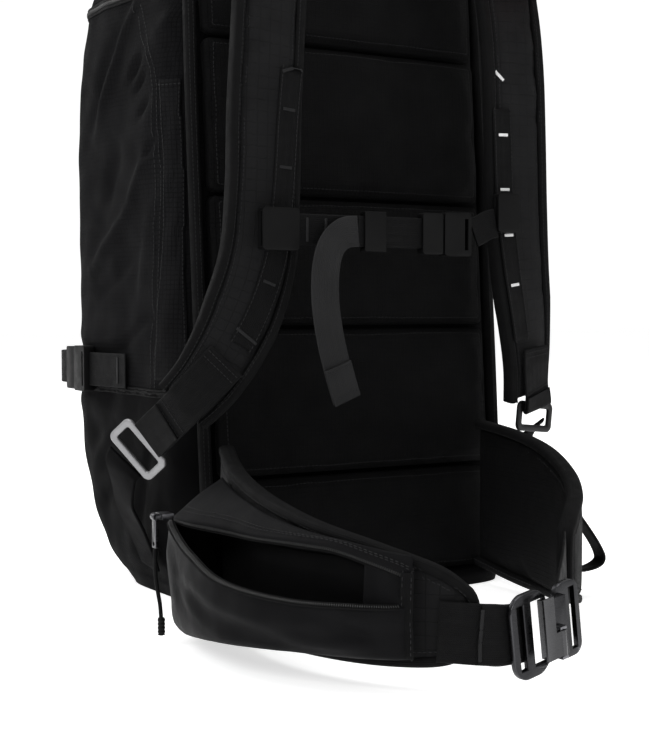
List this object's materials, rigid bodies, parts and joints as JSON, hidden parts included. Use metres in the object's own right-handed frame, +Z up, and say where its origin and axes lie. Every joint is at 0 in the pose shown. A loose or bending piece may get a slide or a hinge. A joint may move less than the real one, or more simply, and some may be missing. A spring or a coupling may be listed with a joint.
{
  "type": "avalanche airbag backpack",
  "caption": "Ski touring backpack with a stowed fan-filled airbag, padded back, shoulder straps, sternum strap and a buckled hip belt with an open zip pocket.",
  "frame": {"origin": "on the flat base, in the middle across and in the plane of the back panel at floor level", "axes": "+Z up, -Y towards the wearer and the hip belt, +X to the right as seen from the wearer's side"},
  "size_m": [0.428, 0.5753, 0.6475],
  "materials": {
    "ripstop": "ripstop weave",
    "coated_fabric": "smooth coated weave",
    "back_foam": "soft knitted face over foam",
    "strap_foam": "ripstop face over foam",
    "webbing": "woven tape",
    "binding": "folded edge tape",
    "black_plastic": "fine moulded texture",
    "sheet_plastic": "extruded sheet",
    "stay_aluminium": "mill finish",
    "ring_metal": "satin",
    "buckle_metal": "gunmetal",
    "latch_steel": "satin",
    "airbag_nylon": "light coated nylon",
    "battery_wrap": "heat-shrink wrap",
    "signal_red": "moulded",
    "fan_plastic": "moulded",
    "cable_sheath": "smooth sheath"
  },
  "bodies": {
    "pack": {"base_boot": "coated_fabric", "main_bag": "ripstop", "frame_sheet": "sheet_plastic", "frame_stays": "stay_aluminium", "back_pad_top": "back_foam", "back_pad_upper": "back_foam", "back_pad_middle": "back_foam", "back_pad_lower": "back_foam", "back_pad_lumbar": "back_foam", "panel_binding": "binding", "airbag_tray": "sheet_plastic", "airbag_cover": "ripstop", "airbag_folded": "airbag_nylon", "burst_zip": "binding", "lid_zip": "binding", "fan_housing": "black_plastic", "fan_motor": "latch_steel", "battery_pack": "battery_wrap", "control_box": "black_plastic", "power_lead": "cable_sheath", "grab_handle": "webbing", "shoulder_strap_left": "strap_foam", "shoulder_strap_right": "strap_foam", "strap_rails": "webbing", "strap_webbing": "webbing", "strap_rings": "ring_metal", "strap_anchors": "coated_fabric", "load_lifters": "webbing", "trigger_dock": "black_plastic", "trigger_cable": "cable_sheath", "side_webbing": "webbing", "side_sockets": "black_plastic", "hip_wing_left": "strap_foam", "hip_wing_right": "strap_foam", "hip_pocket": "coated_fabric", "pocket_zip": "binding", "hip_webbing": "webbing", "hip_buckle_hook": "buckle_metal", "gear_loop": "webbing"},
    "lid": {"lid": "ripstop"},
    "lid_slider_left": {"lid_zip_slider_left": "buckle_metal"},
    "lid_slider_right": {"lid_zip_slider_right": "buckle_metal"},
    "impeller": {"fan_impeller": "fan_plastic"},
    "power_button": {"power_button": "signal_red"},
    "trigger": {"trigger_handle": "signal_red"},
    "sternum_left": {"sternum_slider_left": "black_plastic", "sternum_webbing_left": "webbing", "sternum_keeper": "black_plastic"},
    "sternum_plug": {"sternum_plug": "black_plastic"},
    "sternum_right": {"sternum_slider_right": "black_plastic", "sternum_webbing_right": "webbing", "sternum_socket": "black_plastic"},
    "side_plug_left": {"side_plug_left": "black_plastic"},
    "side_plug_right": {"side_plug_right": "black_plastic"},
    "zip_slider": {"pocket_slider": "buckle_metal"},
    "zip_puller": {"pocket_puller": "buckle_metal", "pull_cord": "binding", "cord_end": "black_plastic"},
    "hip_frame": {"hip_buckle_frame": "buckle_metal"},
    "hip_latch": {"hip_buckle_latch": "latch_steel"}
  },
  "joints": [
    {"name": "lid_hinge", "type": "hinge", "parent": "pack", "child": "lid", "pos_m": [0, 0.1547, 0.612], "axis": [1, 0, 0], "range_deg": [0, 100]},
    {"name": "lid_zip_left", "type": "slide", "parent": "pack", "child": "lid_slider_left", "axis": [-1, 0, 0], "range_m": [0, 0.07]},
    {"name": "lid_zip_right", "type": "slide", "parent": "pack", "child": "lid_slider_right", "axis": [1, 0, 0], "range_m": [0, 0.07]},
    {"name": "fan_spin", "type": "hinge", "parent": "pack", "child": "impeller", "pos_m": [0, 0.10732, 0.47], "axis": [0, 0, 1], "continuous": true},
    {"name": "power_press", "type": "slide", "parent": "pack", "child": "power_button", "axis": [0, -0.9969, 0.0785], "range_m": [0, 0.0015], "stiffness_N_per_m": 900, "springref_m": -0.001},
    {"name": "trigger_pull", "type": "slide", "parent": "pack", "child": "trigger", "axis": [0, -0.0785, -0.9969], "range_m": [0, 0.025], "stiffness_N_per_m": 500, "springref_m": -0.006},
    {"name": "sternum_height", "type": "slide", "parent": "pack", "child": "sternum_left", "axis": [0, 0, 1], "range_m": [-0.01, 0.04]},
    {"name": "sternum_height_right", "type": "slide", "parent": "pack", "child": "sternum_right", "axis": [0, 0, 1], "range_m": [-0.01, 0.04]},
    {"name": "sternum_release", "type": "slide", "parent": "sternum_left", "child": "sternum_plug", "axis": [-1, 0, 0], "range_m": [0, 0.026]},
    {"name": "side_release_left", "type": "slide", "parent": "pack", "child": "side_plug_left", "axis": [0, 1, 0], "range_m": [0, 0.018]},
    {"name": "side_release_right", "type": "slide", "parent": "pack", "child": "side_plug_right", "axis": [0, 1, 0], "range_m": [0, 0.018]},
    {"name": "pocket_zip_slide", "type": "slide", "parent": "pack", "child": "zip_slider", "axis": [-0.1491, -0.9544, -0.2585], "range_m": [0, 0.03]},
    {"name": "pocket_puller_swing", "type": "hinge", "parent": "zip_slider", "child": "zip_puller", "pos_m": [-0.2267, -0.066, 0.095], "axis": [0, 1, 0], "range_deg": [0, 80]},
    {"name": "hip_buckle_release", "type": "slide", "parent": "pack", "child": "hip_frame", "axis": [0.9752, 0.172, 0.1392], "range_m": [0, 0.006]},
    {"name": "hip_latch_swing", "type": "hinge", "parent": "pack", "child": "hip_latch", "pos_m": [-0.03797, -0.29513, 0.03767], "axis": [-0.1371, -0.0242, 0.9903], "range_deg": [0, 35], "stiffness_Nm_per_rad": 0.02, "springref_deg": -17.19}
  ],
  "couplings": [
    {"joint": "sternum_height_right", "follows": "sternum_height", "ratio": 1}
  ]
}
